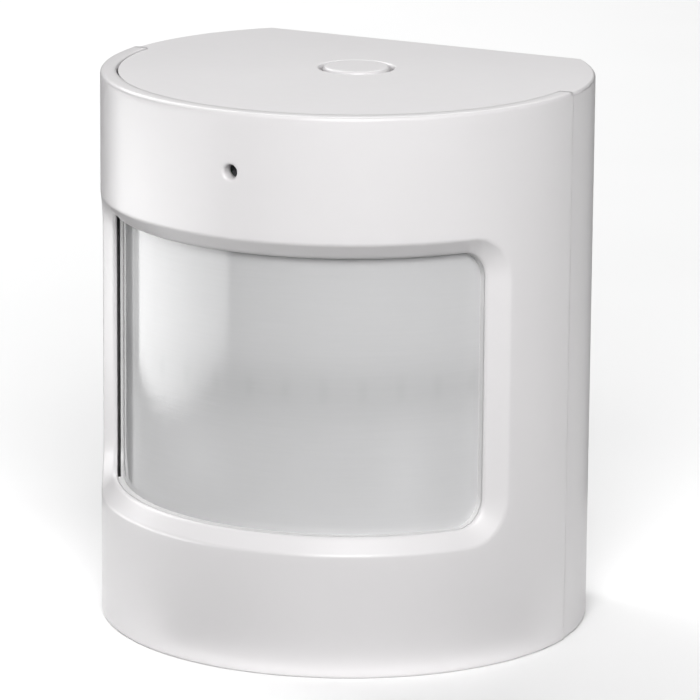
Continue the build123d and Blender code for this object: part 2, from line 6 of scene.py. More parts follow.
import bmesh
import bpy
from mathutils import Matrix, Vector


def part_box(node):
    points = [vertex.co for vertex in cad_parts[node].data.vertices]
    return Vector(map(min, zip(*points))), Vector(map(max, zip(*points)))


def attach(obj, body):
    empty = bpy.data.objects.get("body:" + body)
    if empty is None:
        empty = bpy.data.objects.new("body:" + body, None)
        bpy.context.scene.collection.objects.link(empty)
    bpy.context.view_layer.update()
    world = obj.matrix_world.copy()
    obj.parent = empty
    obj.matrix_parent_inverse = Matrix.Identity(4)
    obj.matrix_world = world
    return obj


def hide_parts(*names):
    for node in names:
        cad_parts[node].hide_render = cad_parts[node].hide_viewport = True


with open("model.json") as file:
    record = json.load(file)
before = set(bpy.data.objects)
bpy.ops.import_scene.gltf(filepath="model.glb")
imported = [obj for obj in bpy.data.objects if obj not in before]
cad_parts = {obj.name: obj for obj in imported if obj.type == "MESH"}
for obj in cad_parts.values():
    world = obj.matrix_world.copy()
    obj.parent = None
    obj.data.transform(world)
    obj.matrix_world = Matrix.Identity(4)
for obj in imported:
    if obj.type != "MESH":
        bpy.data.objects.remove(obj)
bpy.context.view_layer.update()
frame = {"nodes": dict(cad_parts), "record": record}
MM = 0.001

# ---- places and sizes, from the frame ----
cover_low, cover_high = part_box("front_cover")
lens_low, lens_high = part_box("fresnel_lens")
cell_low, cell_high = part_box("cell_right")
cells_middle = (cell_low.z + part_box("cell_left")[1].z) / 2
AXIS_Y = cover_high.y  # axis of the round front
BODY_R = AXIS_Y - cover_low.y
LENS_R = AXIS_Y - lens_low.y
MID_Z = cover_high.z / 2

# ---- node helpers ----


def material_node(tree, kind, **inputs):
    """Adds a node; inputs are socket values by name with spaces as underscores."""
    node = tree.nodes.new(kind)
    for name, value in inputs.items():
        key = name.replace("_", " ")
        if key in node.inputs:
            node.inputs[key].default_value = value
        else:
            setattr(node, name, value)
    return node


def new_material(name):
    material = bpy.data.materials.new(name)
    material.use_nodes = True
    tree = material.node_tree
    shader = tree.nodes["Principled BSDF"]
    coordinates = material_node(tree, "ShaderNodeTexCoord").outputs["Object"]
    return material, tree, shader, coordinates


def grain(tree, coordinates, scale, detail=3.0, stretch=(1, 1, 1)):
    """Noise over the object's own coordinates, in features per metre."""
    mapping = material_node(tree, "ShaderNodeMapping")
    mapping.inputs["Scale"].default_value = stretch
    texture = material_node(tree, "ShaderNodeTexNoise", Scale=scale, Detail=detail, Roughness=0.6)
    tree.links.new(coordinates, mapping.inputs["Vector"])
    tree.links.new(mapping.outputs["Vector"], texture.inputs["Vector"])
    return texture.outputs["Fac"]


def remap(tree, value, low, high, from_low=0.3, from_high=0.7):
    """Clamped linear map; noise stays mostly inside the default span."""
    node = material_node(tree, "ShaderNodeMapRange")
    node.inputs["From Min"].default_value = from_low
    node.inputs["From Max"].default_value = from_high
    node.inputs["To Min"].default_value = low
    node.inputs["To Max"].default_value = high
    tree.links.new(value, node.inputs["Value"])
    return node.outputs["Result"]


def mix_colours(tree, share, first, second):
    """Colour between two, each a socket or an (r, g, b)."""
    node = material_node(tree, "ShaderNodeMix", data_type="RGBA")
    for socket, value in ((node.inputs[6], first), (node.inputs[7], second)):
        if isinstance(value, bpy.types.NodeSocket):
            tree.links.new(value, socket)
        else:
            socket.default_value = (*value, 1)
    tree.links.new(share, node.inputs["Factor"])
    return node.outputs[2]


def bump(tree, shader, height, distance, strength=1.0):
    node = material_node(tree, "ShaderNodeBump", Strength=strength, Distance=distance)
    tree.links.new(height, node.inputs["Height"])
    tree.links.new(node.outputs["Normal"], shader.inputs["Normal"])


def calc(tree, operation, first, second=None):
    """Math node on sockets or numbers."""
    node = material_node(tree, "ShaderNodeMath", operation=operation)
    for socket, value in zip(node.inputs, (first, second)):
        if isinstance(value, bpy.types.NodeSocket):
            tree.links.new(value, socket)
        elif value is not None:
            socket.default_value = value
    return node.outputs["Value"]


def times(tree, first, second):
    return calc(tree, "MULTIPLY", first, second)


def minus(tree, first, second):
    return calc(tree, "SUBTRACT", first, second)


def add_up(tree, *parts):
    total = parts[0]
    for part in parts[1:]:
        total = calc(tree, "ADD", total, part)
    return total


def hump(tree, value, middle, width):
    """Smooth bell over a value: 1 at the middle, fading over the width."""
    away = calc(tree, "DIVIDE", minus(tree, value, middle), width)
    return calc(tree, "EXPONENT", times(tree, times(tree, away, away), -1))


def split(tree, vector):
    parts = material_node(tree, "ShaderNodeSeparateXYZ")
    tree.links.new(vector, parts.inputs["Vector"])
    return parts.outputs


# ---- plastics and metals ----
EDGE_WEAR_R = 0.3 * MM
EDGE_WEAR_COSINES = (0.90, 0.995)  # between the rounded and the plain normal: rubbed bare, untouched
DRIFT_SCALE = 90  # all scales are in features per metre
PATCH_SCALE = 700
PATCH_ROUGHNESS = (-0.015, 0.02)
SPARK_SCALE = 5200
PLASTIC_IOR = 1.47
STREAK_SCALE = 900
STREAK_ROUGHNESS = (-0.08, 0.12)
STREAK_DEPTH = 0.004 * MM
STAIN_SCALE = 160
STAIN_SHADE = 0.86


def rubbed_edges(tree):
    """1 on edges and tight rounds, 0 on open faces."""
    rounded = material_node(tree, "ShaderNodeBevel", samples=4, Radius=EDGE_WEAR_R)
    plain = material_node(tree, "ShaderNodeNewGeometry")
    product = material_node(tree, "ShaderNodeVectorMath", operation="DOT_PRODUCT")
    tree.links.new(rounded.outputs["Normal"], product.inputs[0])
    tree.links.new(plain.outputs["Normal"], product.inputs[1])
    return remap(tree, product.outputs["Value"], 1, 0, *EDGE_WEAR_COSINES)


def moulded_plastic(name, colour, roughness=0.42, texture=0.006, tone=0.015, worn=0.03):
    """Injection-moulded plastic: fine spark-eroded grain, slow colour drift and paler rubbed edges."""
    material, tree, shader, at = new_material(name)
    drift = remap(tree, grain(tree, at, DRIFT_SCALE, 2), 0, 1)
    darker = [c * (1 - tone) for c in colour]
    paler = [min(1, c * (1 + worn)) for c in colour]
    paint = mix_colours(tree, drift, darker, colour)
    tree.links.new(mix_colours(tree, rubbed_edges(tree), paint, paler), shader.inputs["Base Color"])
    spread = [roughness + change for change in PATCH_ROUGHNESS]
    tree.links.new(remap(tree, grain(tree, at, PATCH_SCALE, 4), *spread), shader.inputs["Roughness"])
    bump(tree, shader, grain(tree, at, SPARK_SCALE, 2), texture * MM, 0.5)
    shader.inputs["IOR"].default_value = PLASTIC_IOR
    return material


def metal(name, colour, roughness=0.3, brushed=(1, 1, 1)):
    """Bare or plated metal, with stains and fine streaks along the axis that brushed makes small."""
    material, tree, shader, at = new_material(name)
    streaks = grain(tree, at, STREAK_SCALE, 4, brushed)
    spread = [roughness + change for change in STREAK_ROUGHNESS]
    tree.links.new(remap(tree, streaks, *spread), shader.inputs["Roughness"])
    stain = remap(tree, grain(tree, at, STAIN_SCALE, 3), 0, 1)
    stained = [c * STAIN_SHADE for c in colour]
    tree.links.new(mix_colours(tree, stain, stained, colour), shader.inputs["Base Color"])
    shader.inputs["Metallic"].default_value = 1.0
    bump(tree, shader, streaks, STREAK_DEPTH, 0.6)
    return material


# ---- light guide ----
CLEAR_TINTS = ((0.80, 0.84, 0.88), (0.88, 0.9, 0.92))
CLEAR_ROUGHNESS = (0.04, 0.16)
SCRATCH_DEPTH = 0.002 * MM
CLEAR_TRANSMISSION = 0.85
CLEAR_IOR = 1.49


def clear_plastic(name):
    """Moulded light guide, slightly blue, with fine scratches along it."""
    material, tree, shader, at = new_material(name)
    tint = mix_colours(tree, remap(tree, grain(tree, at, 400, 3), 0, 1), *CLEAR_TINTS)
    tree.links.new(tint, shader.inputs["Base Color"])
    scratches = grain(tree, at, 2500, 4, (1, 0.1, 1))
    tree.links.new(remap(tree, scratches, *CLEAR_ROUGHNESS), shader.inputs["Roughness"])
    bump(tree, shader, scratches, SCRATCH_DEPTH, 0.5)
    shader.inputs["Transmission Weight"].default_value = CLEAR_TRANSMISSION
    shader.inputs["IOR"].default_value = CLEAR_IOR
    return material


# ---- circuit boards ----
TRACK_LAYOUT = {"Scale": 260.0, "Mortar_Size": 0.09, "Mortar_Smooth": 0.2}
TRACK_RISE = 0.02 * MM
MASK_SHADE = 0.8
MASK_ROUGHNESS = (0.25, 0.4)


def circuit_board(name, mask, track):
    """Solder mask over copper tracks that run across the board."""
    material, tree, shader, at = new_material(name)
    mapping = material_node(tree, "ShaderNodeMapping")
    mapping.inputs["Rotation"].default_value = (pi / 2, 0, 0)
    tree.links.new(at, mapping.inputs["Vector"])
    lines = material_node(tree, "ShaderNodeTexBrick", **TRACK_LAYOUT)
    tree.links.new(mapping.outputs["Vector"], lines.inputs["Vector"])
    cloudy = remap(tree, grain(tree, at, 300, 3), 0, 1)
    ground = mix_colours(tree, cloudy, [c * MASK_SHADE for c in mask], mask)
    tree.links.new(mix_colours(tree, lines.outputs["Fac"], ground, track), shader.inputs["Base Color"])
    tree.links.new(remap(tree, grain(tree, at, 900, 3), *MASK_ROUGHNESS), shader.inputs["Roughness"])
    bump(tree, shader, lines.outputs["Fac"], TRACK_RISE, 0.6)
    return material


# ---- cells ----
CELL_BARE_R = 4.7 * MM  # where the film turned over the ends stops
CELL_BAND_START = 14 * MM  # from the middle towards the nub, where the coppery band starts
CELL_FILM = ((0.018, 0.02, 0.024), (0.024, 0.026, 0.031))
CELL_BAND = (0.42, 0.20, 0.08)
CELL_STEEL = (0.62, 0.61, 0.59)
CELL_BAND_METALLIC = 0.6
CELL_ROUGHNESS = (0.18, 0.34)
SCUFF_DEPTH = 0.006 * MM


def cell_wrap(name):
    """Film-wrapped cell: dark film, a coppery band at the nub's end, plated steel end faces."""
    material, tree, shader, at = new_material(name)
    x, y, z = split(tree, at)
    centre = (cell_low + cell_high) / 2
    side = minus(tree, calc(tree, "ABSOLUTE", x), centre.x)
    depth = minus(tree, y, centre.y)
    squares = add_up(tree, times(tree, side, side), times(tree, depth, depth))
    bare = calc(tree, "LESS_THAN", calc(tree, "SQRT", squares), CELL_BARE_R)
    to_nub = times(tree, minus(tree, cells_middle, z), calc(tree, "SIGN", x))
    band = calc(tree, "GREATER_THAN", to_nub, CELL_BAND_START)
    film = mix_colours(tree, remap(tree, grain(tree, at, 90, 3), 0, 1), *CELL_FILM)
    wrap = mix_colours(tree, band, film, CELL_BAND)
    tree.links.new(mix_colours(tree, bare, wrap, CELL_STEEL), shader.inputs["Base Color"])
    shine = calc(tree, "MAXIMUM", bare, times(tree, band, CELL_BAND_METALLIC))
    tree.links.new(shine, shader.inputs["Metallic"])
    scuffs = grain(tree, at, 1200, 4, (1, 1, 0.3))
    tree.links.new(remap(tree, scuffs, *CELL_ROUGHNESS), shader.inputs["Roughness"])
    bump(tree, shader, scuffs, SCUFF_DEPTH, 0.6)
    return material


# ---- lens material ----
# angles are in degrees round the axis from the front, positive towards +X
# heights are in millimetres over the middle
LENS_COLOUR = (0.482, 0.482, 0.487)
LENS_IOR = 1.51
TONE_RANGE = (0.75, 1.25)
FACET_PITCH = 9.6
FACET_PHASE = 2.5
BAND = {"height": 0.5, "width": 3.4, "tone": -0.10}
SPOTS = {"height": 0.6, "width": 1.3, "tone": -0.035, "sharpness": 2.5}
# paler patches on the sheet; the second, low on the left, is a painted highlight: the fading lower tail of the
# panel's reflection
PALE_PATCH_AND_PAINTED_HIGHLIGHT = (  # angle, its width, height, its width, tone
    (42, 7, -9, 6, 0.07),
    (-14, 11, -8.5, 4.5, 0.13),
)
RIGHT_BORDER = {"angle": 61, "width": 3.5, "tone": 0.05}
TONES_TO_RIGHT = (-0.04, 0.06)
ANGLES_TO_RIGHT = (-10, 60)
# painted light: the lower part of the sheet is made paler, fading out towards the middle, in place of light the
# lamps don't bring there
PAINTED_LIGHT_TONES_LOW = (0.08, 0.0)
PAINTED_LIGHT_HEIGHTS = (-14, -3)
CLOUD_TONES = (-0.012, 0.012)
DRAWN_LEVEL = (0.1, 0.1, 3.0)  # stretch of the noise into level streaks
DRAWN_ROUGHNESS = (0.07, 0.13)
DRAWN_DEPTH = 0.007 * MM


def places_on_lens(tree, at):
    x, y, z = split(tree, at)
    turn = calc(tree, "ARCTAN2", x, minus(tree, AXIS_Y, y))
    return times(tree, turn, 180 / pi), times(tree, minus(tree, z, MID_Z), 1 / MM)


def lens_tone(tree, angle, height):
    """Brightness of the milky sheet: dim middle band with facet centres, paler patches and borders, a painted
    highlight low on the left, and painted light that makes the lower part paler.
    """
    band = times(tree, hump(tree, height, BAND["height"], BAND["width"]), BAND["tone"])
    wave = calc(tree, "COSINE", times(tree, minus(tree, angle, FACET_PHASE), 2 * pi / FACET_PITCH))
    centres = calc(tree, "POWER", calc(tree, "MAXIMUM", wave, 0.0), SPOTS["sharpness"])
    row = hump(tree, height, SPOTS["height"], SPOTS["width"])
    spots = times(tree, times(tree, centres, row), SPOTS["tone"])
    right = hump(tree, angle, RIGHT_BORDER["angle"], RIGHT_BORDER["width"])
    tone = add_up(tree, 1.0, band, spots, times(tree, right, RIGHT_BORDER["tone"]))
    # paler patches, the second a painted highlight
    for turn, turn_width, level, level_width, strength in PALE_PATCH_AND_PAINTED_HIGHLIGHT:
        paler_area = times(tree, hump(tree, angle, turn, turn_width), hump(tree, height, level, level_width))
        tone = add_up(tree, tone, times(tree, paler_area, strength))
    to_right = remap(tree, angle, *TONES_TO_RIGHT, *ANGLES_TO_RIGHT)
    # painted light: paler towards the bottom edge
    painted_light_low = remap(tree, height, *PAINTED_LIGHT_TONES_LOW, *PAINTED_LIGHT_HEIGHTS)
    return add_up(tree, tone, to_right, painted_light_low)


def lens_sheet(name):
    """Milky polyethylene: drawn sheet with fine level streaks, seen facets and a soft gloss."""
    material, tree, shader, at = new_material(name)
    tone = lens_tone(tree, *places_on_lens(tree, at))
    cloud = remap(tree, grain(tree, at, 60, 3), *CLOUD_TONES)
    streaks = grain(tree, at, 1500, 5, DRAWN_LEVEL)
    level = remap(tree, streaks, *CLOUD_TONES)
    share = remap(tree, add_up(tree, tone, cloud, level), 0, 1, *TONE_RANGE)
    darkest, palest = ([c * t for c in LENS_COLOUR] for t in TONE_RANGE)
    tree.links.new(mix_colours(tree, share, darkest, palest), shader.inputs["Base Color"])
    tree.links.new(remap(tree, streaks, *DRAWN_ROUGHNESS), shader.inputs["Roughness"])
    bump(tree, shader, streaks, DRAWN_DEPTH, 0.8)
    shader.inputs["IOR"].default_value = LENS_IOR
    return material


def mesh_object(name, bm, material, outward=True):
    """Object from mesh code; outward turns every face away from the inside of a closed skin."""
    mesh = bpy.data.meshes.new(name)
    if outward:
        bmesh.ops.recalc_face_normals(bm, faces=bm.faces)
    bm.to_mesh(mesh)
    bm.free()
    mesh.shade_smooth()
    mesh.materials.append(material)
    obj = bpy.data.objects.new(name, mesh)
    bpy.context.scene.collection.objects.link(obj)
    return obj


# ---- front cover mesh ----
COVER_WALL = 1.8 * MM
COVER_INNER_R = BODY_R - COVER_WALL
COVER_EDGE = 0.42 * MM  # rounding of the outer rim
RIM_INNER_EDGE = 0.12 * MM
WINDOW = {"angle": radians(62.3), "half_height": 15.7 * MM, "corner": 3.3 * MM}
BEVEL = {"angle": radians(67.3), "half_height": 17.5 * MM, "corner": 5.0 * MM}
LIP_R = BODY_R - 1.42 * MM  # where the bevel meets the lip
LIP_BACK_EDGE = 0.15 * MM
LIP_FRONT_EDGE = 0.06 * MM
CREST_IN = 0.88  # shares of the bevel and of the outside at which the rounded crest starts and ends
CREST_OUT = 0.02
SEAM_FILL = 0.17 * MM  # the cover's ends reach this far into the seam
GROOVE_FILL = 0.16 * MM  # the rim closes the groove round the end plates this far
GROOVE_OPEN_AT = radians(-61)
GROOVE_OPEN_WIDTH = radians(9)
PLATE_T = 1.8 * MM
BORDER_BEND = 4 * MM  # stretch of the outer border that each corner's samples take

SIDE_STEPS = 36  # samples down each side of the window
LEVEL_STEPS = 120  # along its top and bottom
CORNER_STEPS = 12
BEVEL_STEPS = 8
CREST_STEPS = 4
SPREAD_STEPS = 26  # loops from the window out to the rim
RIM_STEPS = 5
RIM_FACE_SHARES = (0.35, 0.7, 1.0)

LIGHT_Z = 56.5 * MM - MID_Z  # light hole, over the middle
LIGHT_R = 0.8 * MM
LIGHT_EDGE = 0.3 * MM
LIGHT_BLOCK = 4  # samples on each side of the hole that make room for it
# share of the way in from the block's border to the hole, and share of the eased edge's depth
LIGHT_STEPS = ((0.35, 0), (0.7, 0), (1, 0), (1, 0.1), (1, 0.4), (1, 1))


def on_cylinder(u, z, radius):
    """u is the arc length at the body's outer radius, from the front centre towards +X."""
    angle = u / BODY_R
    return Vector((radius * sin(angle), AXIS_Y - radius * cos(angle), MID_Z + z))


def lerp(first, second, t):
    return tuple(a + (b - a) * t for a, b in zip(first, second))


def lerp_loop(first, second, t):
    return [lerp(a, b, t) for a, b in zip(first, second)]


def rounded_loop(half_u, half_z, corner):
    """Counter-clockwise outline in (u, z), from the lower end of the right side."""
    flat_u, flat_z = half_u - corner, half_z - corner
    sides = [  # start, end, centre of the corner after it, samples
        ((half_u, -flat_z), (half_u, flat_z), (flat_u, flat_z), SIDE_STEPS),
        ((flat_u, half_z), (-flat_u, half_z), (-flat_u, flat_z), LEVEL_STEPS),
        ((-half_u, flat_z), (-half_u, -flat_z), (-flat_u, -flat_z), SIDE_STEPS),
        ((-flat_u, -half_z), (flat_u, -half_z), (flat_u, -flat_z), LEVEL_STEPS),
    ]
    points = []
    for k, (start, end, centre, steps) in enumerate(sides):
        points += [lerp(start, end, i / steps) for i in range(steps)]
        for i in range(CORNER_STEPS):
            angle = radians(90 * (k + i / CORNER_STEPS))
            points.append((centre[0] + corner * cos(angle), centre[1] + corner * sin(angle)))
    return points


def square_loop(half_u, half_z):
    """The same number of samples as rounded_loop, on a sharp-cornered border."""
    corners = [Vector((u * half_u, z * half_z)) for u, z in ((1, -1), (1, 1), (-1, 1), (-1, -1))]
    points = []
    for k, steps in enumerate((SIDE_STEPS, LEVEL_STEPS, SIDE_STEPS, LEVEL_STEPS)):
        start, end, after = (corners[(k + n) % 4] for n in range(3))
        along, onward = (end - start).normalized(), (after - end).normalized()
        first, last = start + along * BORDER_BEND, end - along * BORDER_BEND
        points += [tuple(first.lerp(last, i / steps)) for i in range(steps)]
        for i in range(CORNER_STEPS):
            past = BORDER_BEND * (2 * i / CORNER_STEPS - 1)  # along the border, from the corner
            points.append(tuple(end + (along if past < 0 else onward) * past))
    return points


def lift(loop, radius):
    return [(u, z, radius) for u, z in loop]


def inside(loop):
    """The loop on the cover's inner face, which stands in towards the end plates near the rims."""
    points = []
    for u, z in loop:
        away = (u / BODY_R - GROOVE_OPEN_AT) / GROOVE_OPEN_WIDTH
        at_plate = min(1, max(0, (abs(z) - MID_Z + PLATE_T) / (PLATE_T / 2)))
        points.append((u, z, COVER_INNER_R - GROOVE_FILL * (1 - exp(-away * away)) * at_plate))
    return points


def bevel_radius(t):
    return LIP_R + (BODY_R - LIP_R) * t


def lip_and_bevel(window, bevel):
    lip = (COVER_INNER_R, COVER_INNER_R + LIP_BACK_EDGE, LIP_R - LIP_FRONT_EDGE)
    loops = [lift(window, radius) for radius in lip]
    for i in range(1, BEVEL_STEPS):
        t = i / BEVEL_STEPS
        loops.append(lift(lerp_loop(window, bevel, t), bevel_radius(t)))
    return loops


def crest(window, bevel, border):
    """Rounded edge between the bevel and the outside, a curve drawn towards the sharp edge."""
    before, after = lerp_loop(window, bevel, CREST_IN), lerp_loop(bevel, border, CREST_OUT)
    loops = []
    for i in range(CREST_STEPS + 1):
        t = i / CREST_STEPS
        curve = lerp_loop(lerp_loop(before, bevel, t), lerp_loop(bevel, after, t), t)
        radius = BODY_R - (BODY_R - bevel_radius(CREST_IN)) * (1 - t) ** 2
        loops.append(lift(curve, radius))
    return loops


def rim(half_u):
    """Rounded outer edge, then the flat face of the rim in to the inner edge."""
    loops = []
    for i in range(1, RIM_STEPS + 1):
        turn = radians(90 * i / RIM_STEPS)
        inset = COVER_EDGE * (1 - sin(turn))
        radius = BODY_R - COVER_EDGE * (1 - cos(turn))
        loops.append(lift(square_loop(half_u - inset, MID_Z - inset), radius))
    start = BODY_R - COVER_EDGE
    face = inside(square_loop(half_u, MID_Z))
    for t in RIM_FACE_SHARES:
        loops.append([(u, z, start + (radius + RIM_INNER_EDGE - start) * t) for u, z, radius in face])
    return loops


def cover_loops():
    """Closed run of loops over the whole skin, and the spans of those on the outside and on the inside."""
    window = rounded_loop(BODY_R * WINDOW["angle"], WINDOW["half_height"], WINDOW["corner"])
    bevel = rounded_loop(BODY_R * BEVEL["angle"], BEVEL["half_height"], BEVEL["corner"])
    half_u = BODY_R * pi / 2 + SEAM_FILL
    border = square_loop(half_u - COVER_EDGE, MID_Z - COVER_EDGE)
    loops = lip_and_bevel(window, bevel) + crest(window, bevel, border)
    outer_start = len(loops) - 1
    for i in range(1, SPREAD_STEPS + 1):
        share = CREST_OUT + (1 - CREST_OUT) * i / SPREAD_STEPS
        loops.append(lift(lerp_loop(bevel, border, share), BODY_R))
    loops += rim(half_u)
    inner_border = square_loop(half_u - RIM_INNER_EDGE, MID_Z - RIM_INNER_EDGE)
    inner_start = len(loops)
    loops += [inside(lerp_loop(inner_border, window, i / SPREAD_STEPS)) for i in range(SPREAD_STEPS)]
    return loops, ((outer_start, outer_start + SPREAD_STEPS), (inner_start, len(loops)))


def light_blocks(loops, spans):
    """Blocks of samples, (rows, columns), round the light hole on the outside and on the inside."""
    front = SIDE_STEPS + CORNER_STEPS + LEVEL_STEPS // 2  # sample at u = 0 over the window
    columns = (front - LIGHT_BLOCK, front + LIGHT_BLOCK)
    blocks = []
    for start, stop in spans:
        row = min(range(start, stop), key=lambda k: abs(loops[k][front][1] - LIGHT_Z))
        blocks.append(((row - LIGHT_BLOCK, row + LIGHT_BLOCK), columns))
    return blocks


def in_block(block, row, column):
    rows, columns = block
    return rows[0] <= row < rows[1] and columns[0] <= column < columns[1]


def border_of(block):
    """Samples round the border of a block, in order."""
    (low_row, high_row), (low_column, high_column) = block
    ring = [(low_row, c) for c in range(low_column, high_column)]
    ring += [(r, high_column) for r in range(low_row, high_row)]
    ring += [(high_row, c) for c in range(high_column, low_column, -1)]
    ring += [(r, low_column) for r in range(high_row, low_row, -1)]
    return ring


def join_rings(bm, first, second):
    for k in range(len(first)):
        j = (k + 1) % len(first)
        bm.faces.new((first[k], first[j], second[j], second[k]))


def skin(bm, grid, blocks):
    """Faces between each loop and the next, the last joined to the first, with the blocks left open."""
    count = len(grid[0])
    for row, loop in enumerate(grid):
        after = grid[(row + 1) % len(grid)]
        for column in range(count):
            if any(in_block(block, row, column) for block in blocks):
                continue
            right = (column + 1) % count
            bm.faces.new((loop[column], loop[right], after[right], after[column]))


def light_collar(bm, grid, loops, block, radius, sink):
    """Fills an open block in to the hole's eased edge, and returns the last ring, sorted by angle."""
    (low_row, high_row), (low_column, high_column) = block
    for row in grid[low_row + 1 : high_row]:
        for vert in row[low_column + 1 : high_column]:
            bm.verts.remove(vert)
    border = border_of(block)
    flat = [loops[r][c][:2] for r, c in border]
    turns = [atan2(z - LIGHT_Z, u) for u, z in flat]
    last = [grid[r][c] for r, c in border]
    for share, depth in LIGHT_STEPS:
        edge_r = LIGHT_R + LIGHT_EDGE * (1 - sqrt(1 - (1 - depth) ** 2))
        ring = []
        for point, turn in zip(flat, turns):
            on_edge = (edge_r * cos(turn), LIGHT_Z + edge_r * sin(turn))
            u, z = lerp(point, on_edge, share)
            ring.append(bm.verts.new(on_cylinder(u, z, radius + sink * depth * LIGHT_EDGE)))
        join_rings(bm, last, ring)
        last = ring
    return [last[k] for k in sorted(range(len(last)), key=lambda k: turns[k])]


def front_cover(material):
    loops, spans = cover_loops()
    bm = bmesh.new()
    grid = [[bm.verts.new(on_cylinder(*point)) for point in loop] for loop in loops]
    outer_block, inner_block = blocks = light_blocks(loops, spans)
    skin(bm, grid, blocks)
    outer_ring = light_collar(bm, grid, loops, outer_block, BODY_R, -1)
    inner_ring = light_collar(bm, grid, loops, inner_block, COVER_INNER_R, 1)
    join_rings(bm, outer_ring, inner_ring)
    obj = mesh_object("cover_shell", bm, material)
    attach(obj, "case")
    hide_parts("front_cover")


# ---- lens mesh ----
LENS_T = 0.5 * MM
LENS_GRID = (280, 140)
LENS_SHARP_EDGE = radians(40)
FACET_ROWS = 3
FACET_BULGE = 0.10 * MM
GROOVE_PITCH = 0.9 * MM
GROOVE_DEPTH = 0.06 * MM


def facet_relief(u, z):
    """Depth cut into the inner face: a lenslet in each facet, broken into rings."""
    facet_u = radians(FACET_PITCH) * LENS_R
    facet_z = (lens_high.z - lens_low.z) / FACET_ROWS
    from_first = u - radians(FACET_PHASE) * LENS_R
    row = min(FACET_ROWS - 1, int((z - lens_low.z) / facet_z))
    du = from_first - round(from_first / facet_u) * facet_u
    dz = z - lens_low.z - (row + 0.5) * facet_z
    away = sqrt(du * du + dz * dz)
    ring = (away / GROOVE_PITCH) % 1.0
    return FACET_BULGE * min(1, away / facet_z) + GROOVE_DEPTH * ring


def lens_side(bm, inner):
    """Rows of vertices over one face of the sheet."""
    half_u = LENS_R * atan2(lens_high.x, AXIS_Y - lens_high.y)
    columns, rows = LENS_GRID
    lines = []
    for i in range(rows + 1):
        z = lens_low.z + (lens_high.z - lens_low.z) * i / rows
        line = []
        for j in range(columns + 1):
            u = half_u * (2 * j / columns - 1)
            radius = LENS_R - LENS_T + facet_relief(u, z) if inner else LENS_R
            turn = u / LENS_R
            line.append(bm.verts.new((radius * sin(turn), AXIS_Y - radius * cos(turn), z)))
        lines.append(line)
    return lines


def join_lines(bm, first, second):
    for j in range(len(first) - 1):
        bm.faces.new((first[j], first[j + 1], second[j + 1], second[j]))


def lens_skin(material):
    """Curved sheet: smooth outside, lenslets and rings inside."""
    bm = bmesh.new()
    outer, inner = lens_side(bm, False), lens_side(bm, True)
    for side in (outer, inner):
        for low, high in zip(side, side[1:]):
            join_lines(bm, low, high)
    for k in (0, -1):
        join_lines(bm, outer[k], inner[k])
        join_lines(bm, [line[k] for line in outer], [line[k] for line in inner])
    obj = mesh_object("lens_skin", bm, material)
    obj.data.set_sharp_from_angle(angle=LENS_SHARP_EDGE)
    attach(obj, "case")
    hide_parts("fresnel_lens")


# ---- every slot's material ----
WHITE = (0.66, 0.647, 0.653)
SLOT_MATERIALS = {
    "cover_plastic": moulded_plastic("cover_plastic", WHITE, roughness=0.33),
    "housing_plastic": moulded_plastic("housing_plastic", WHITE, roughness=0.38),
    "door_plastic": moulded_plastic("door_plastic", WHITE),
    "button_plastic": moulded_plastic("button_plastic", WHITE, roughness=0.36),
    "frame_plastic": moulded_plastic("frame_plastic", (0.66, 0.655, 0.655), roughness=0.3),
    "lens_sheet": lens_sheet("lens_sheet"),
    "clear_plastic": clear_plastic("clear_plastic"),
    "black_plastic": moulded_plastic("black_plastic", (0.02, 0.02, 0.022), roughness=0.5),
    "plunger_plastic": moulded_plastic("plunger_plastic", (0.05, 0.05, 0.052), roughness=0.4),
    "contact_metal": metal("contact_metal", (0.66, 0.64, 0.6), 0.22, (1, 1, 0.2)),
    "circuit_board": circuit_board("circuit_board", (0.02, 0.13, 0.05), (0.05, 0.22, 0.08)),
    "screw_steel": metal("screw_steel", (0.5, 0.5, 0.51), 0.32),
    "sensor_base_metal": metal("sensor_base_metal", (0.6, 0.55, 0.42), 0.3),
    "sensor_can_metal": metal("sensor_can_metal", (0.6, 0.6, 0.6), 0.25, (1, 0.2, 1)),
    "sensor_window": moulded_plastic("sensor_window", (0.012, 0.012, 0.018), roughness=0.15),
    "module_board": circuit_board("module_board", (0.012, 0.025, 0.09), (0.03, 0.06, 0.16)),
    "shield_metal": metal("shield_metal", (0.58, 0.58, 0.57), 0.34, (0.2, 1, 1)),
    "chip_plastic": moulded_plastic("chip_plastic", (0.018, 0.018, 0.018), roughness=0.55, texture=0.012),
    "capacitor_metal": metal("capacitor_metal", (0.68, 0.69, 0.7), 0.3, (1, 0.15, 1)),
    "chip_ceramic": moulded_plastic("chip_ceramic", (0.18, 0.11, 0.06), roughness=0.45),
    "led_plastic": moulded_plastic("led_plastic", (0.7, 0.7, 0.58), roughness=0.2),
    "cell_wrap": cell_wrap("cell_wrap"),
    "spring_steel": metal("spring_steel", (0.62, 0.61, 0.58), 0.2),
}


def dress_frame():
    """Gives every CAD piece the material of its slot."""
    for part in frame["record"]["subparts"]:
        materials = frame["nodes"][part["node"]].data.materials
        materials.clear()
        materials.append(SLOT_MATERIALS[part["material_slot"]])


# ---- floor, light and camera ----
CAMERA_AZIMUTH = 27.22  # degrees from the front, towards +X
CAMERA_ELEVATION = 13.87
CAMERA_ROLL = radians(0.43)
CAMERA_DISTANCE = 0.5912
CAMERA_AIM_Z = 32 * MM
CAMERA_LENS = 266.2  # millimetres on a sensor 36 wide
CAMERA_SHIFT = (0.0050, -0.0181)

